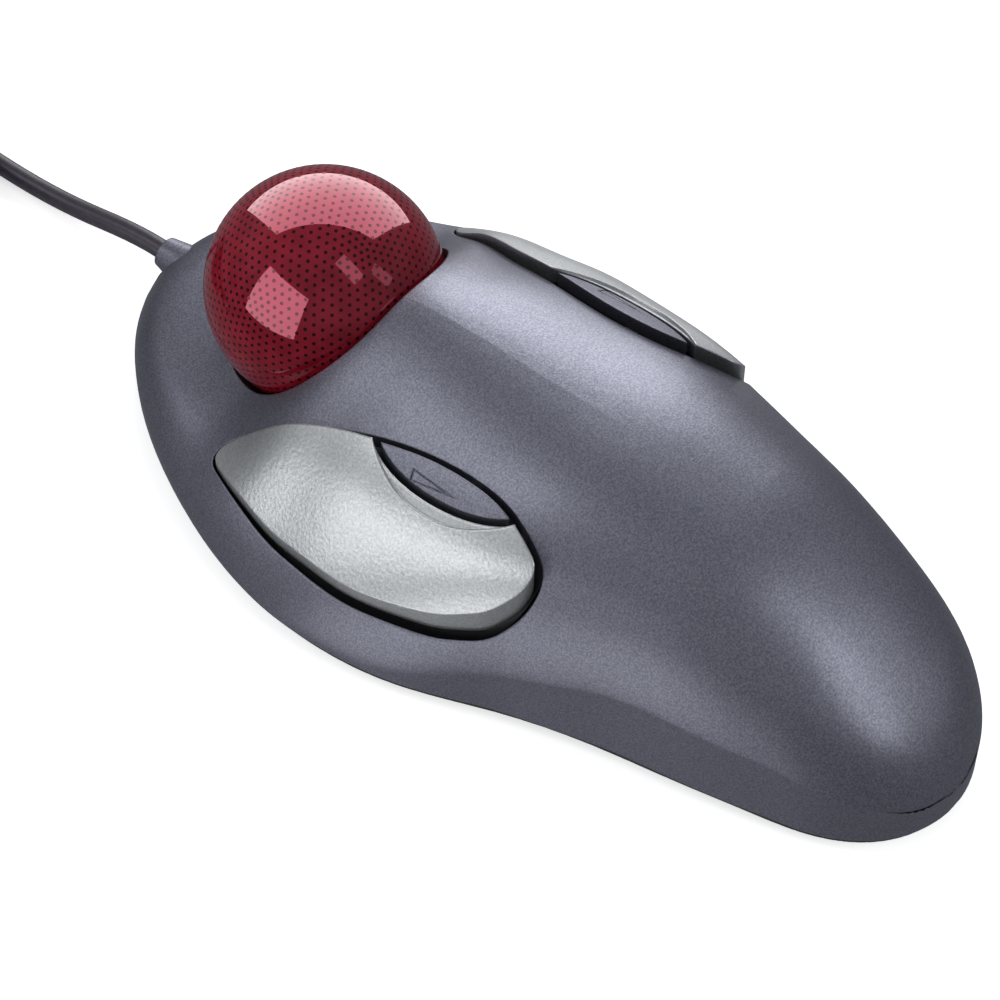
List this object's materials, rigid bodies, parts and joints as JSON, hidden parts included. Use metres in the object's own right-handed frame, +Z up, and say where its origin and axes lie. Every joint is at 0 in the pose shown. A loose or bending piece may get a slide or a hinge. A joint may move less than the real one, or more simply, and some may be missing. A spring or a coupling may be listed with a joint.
{
  "type": "trackball mouse",
  "caption": "Wired trackball mouse with a domed palm rest, a red ball at the front, silver main buttons and small buttons on both flanks.",
  "frame": {"origin": "middle of the mouse's footprint on the surface it stands on, its cable left out", "axes": "+Y towards the ball and the cable, +X to the user's right, +Z up"},
  "size_m": [0.1197, 0.2607, 0.0475],
  "materials": {
    "case": "satin metallic slate paint over ABS",
    "case_dark": "fine matte black",
    "button_silver": "satin silver paint with a fine grain",
    "button_slate": "satin metallic slate paint",
    "ball": "polished deep red with rows of small dark dots under a clear coat",
    "bearing": "polished",
    "rubber": "matte",
    "cable_jacket": "smooth satin",
    "board": "solder mask",
    "chip": "moulded black",
    "steel": "plated",
    "can": "satin",
    "switch": "moulded black",
    "plunger": "moulded white",
    "lens": "clear",
    "led": "clear red",
    "label": "printed film, left blank",
    "ribbon": "flat ribbon",
    "connector": "moulded cream",
    "gold": "gold plated"
  },
  "bodies": {
    "base": {"top_case": "case", "bottom_case": "case_dark", "ball_cup": "case_dark", "left_button_frame": "case_dark", "right_button_frame": "case_dark", "sensor_housing": "case_dark", "cable_tie": "case_dark", "plug_insert": "case_dark", "rubber_feet": "rubber", "cable_grommet": "rubber", "plug_overmold": "rubber", "rating_label": "label", "case_screws": "steel", "board_screws": "steel", "left_frame_screws": "steel", "right_frame_screws": "steel", "plug_shell": "steel", "support_bearings": "bearing", "sensor_lens": "lens", "illumination_led": "led", "image_sensor": "chip", "controller_chip": "chip", "sensor_board": "board", "main_board": "board", "left_switch_board": "board", "right_switch_board": "board", "crystal": "can", "capacitors": "can", "cable_connector": "connector", "plug_contacts": "gold", "internal_cable": "cable_jacket", "cable": "cable_jacket", "plug_lead": "cable_jacket", "cable_coil": "cable_jacket", "left_main_switch": "switch", "left_small_switch": "switch", "left_ribbon": "ribbon", "right_main_switch": "switch", "right_small_switch": "switch", "right_ribbon": "ribbon"},
    "ball": {"ball": "ball"},
    "left_main": {"left_main_button": "button_silver"},
    "left_small": {"left_small_button": "button_slate"},
    "left_main_pin": {"left_main_plunger": "plunger"},
    "left_small_pin": {"left_small_plunger": "plunger"},
    "right_main": {"right_main_button": "button_silver"},
    "right_small": {"right_small_button": "button_slate"},
    "right_main_pin": {"right_main_plunger": "plunger"},
    "right_small_pin": {"right_small_plunger": "plunger"}
  },
  "joints": [
    {"name": "ball_roll", "type": "hinge", "parent": "base", "child": "ball", "pos_m": [0, 0.047, 0.0275], "axis": [1, 0, 0], "continuous": true},
    {"name": "left_main_press", "type": "hinge", "parent": "base", "child": "left_main", "pos_m": [-0.0305, 0.042, 0.016], "axis": [0.7038, 0, 0.7104], "range_deg": [0, 0.9], "stiffness_Nm_per_rad": 1.5},
    {"name": "left_small_press", "type": "slide", "parent": "base", "child": "left_small", "axis": [0.7085, -0.0731, -0.7019], "range_m": [0, 0.0005], "stiffness_N_per_m": 1500},
    {"name": "left_main_plunge", "type": "slide", "parent": "base", "child": "left_main_pin", "axis": [0.7085, -0.0731, -0.7019], "range_m": [0, 0.0007]},
    {"name": "left_small_plunge", "type": "slide", "parent": "base", "child": "left_small_pin", "axis": [0.7085, -0.0731, -0.7019], "range_m": [0, 0.0005]},
    {"name": "right_main_press", "type": "hinge", "parent": "base", "child": "right_main", "pos_m": [0.0305, 0.042, 0.016], "axis": [0.7038, 0, -0.7104], "range_deg": [0, 0.9], "stiffness_Nm_per_rad": 1.5},
    {"name": "right_small_press", "type": "slide", "parent": "base", "child": "right_small", "axis": [-0.7085, -0.0731, -0.7019], "range_m": [0, 0.0005], "stiffness_N_per_m": 1500},
    {"name": "right_main_plunge", "type": "slide", "parent": "base", "child": "right_main_pin", "axis": [-0.7085, -0.0731, -0.7019], "range_m": [0, 0.0007]},
    {"name": "right_small_plunge", "type": "slide", "parent": "base", "child": "right_small_pin", "axis": [-0.7085, -0.0731, -0.7019], "range_m": [0, 0.0005]}
  ],
  "couplings": [
    {"joint": "left_main_plunge", "follows": "left_main_press", "m_per_rad": 0.0412},
    {"joint": "left_small_plunge", "follows": "left_small_press", "ratio": 1},
    {"joint": "right_main_plunge", "follows": "right_main_press", "m_per_rad": 0.0412},
    {"joint": "right_small_plunge", "follows": "right_small_press", "ratio": 1}
  ]
}
